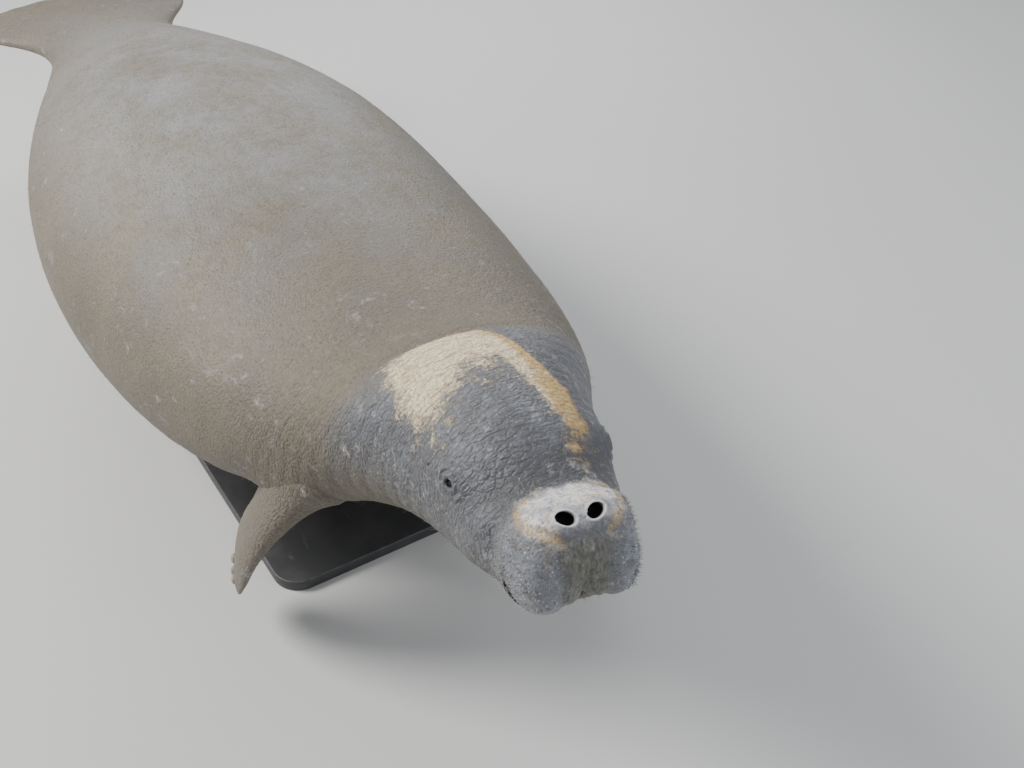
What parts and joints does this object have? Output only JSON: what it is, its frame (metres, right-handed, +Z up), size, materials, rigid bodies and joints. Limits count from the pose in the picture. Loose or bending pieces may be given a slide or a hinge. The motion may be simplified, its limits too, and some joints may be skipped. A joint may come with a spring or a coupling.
{
  "type": "manatee",
  "caption": "Life-size still manatee at rest, head raised to breathe and turned slightly right, paddle tail and flippers hanging, carried on a flat display base.",
  "frame": {"origin": "middle of the underside of the display base, on the floor", "axes": "+X along the body towards the head, +Y to the animal's left, +Z up"},
  "size_m": [3.5794, 1.0856, 0.9124],
  "materials": {
    "hide": "damp taupe-grey hide with fine speckle",
    "head_hide": "slate hide with cream and tan algae film, fine wrinkles",
    "snout_hide": "pale grey nose plate and bristly lip pads",
    "eye": "wet dark eye",
    "nail": "pale horn",
    "stand_base": "dark satin paint on board",
    "stand_rod": "brushed steel"
  },
  "bodies": {
    "root": {"muzzle": "snout_hide", "lower_jaw": "snout_hide", "head": "head_hide", "eye_left": "eye", "eye_right": "eye", "neck": "head_hide", "chest": "hide", "belly": "hide", "rump": "hide", "tail_stock": "hide", "tail_paddle": "hide", "flipper_left": "hide", "flipper_right": "hide", "nail_left_1": "nail", "nail_left_2": "nail", "nail_left_3": "nail", "nail_right_1": "nail", "nail_right_2": "nail", "nail_right_3": "nail", "stand_base": "stand_base", "stand_rod_front": "stand_rod", "stand_rod_rear": "stand_rod"}
  },
  "joints": []
}
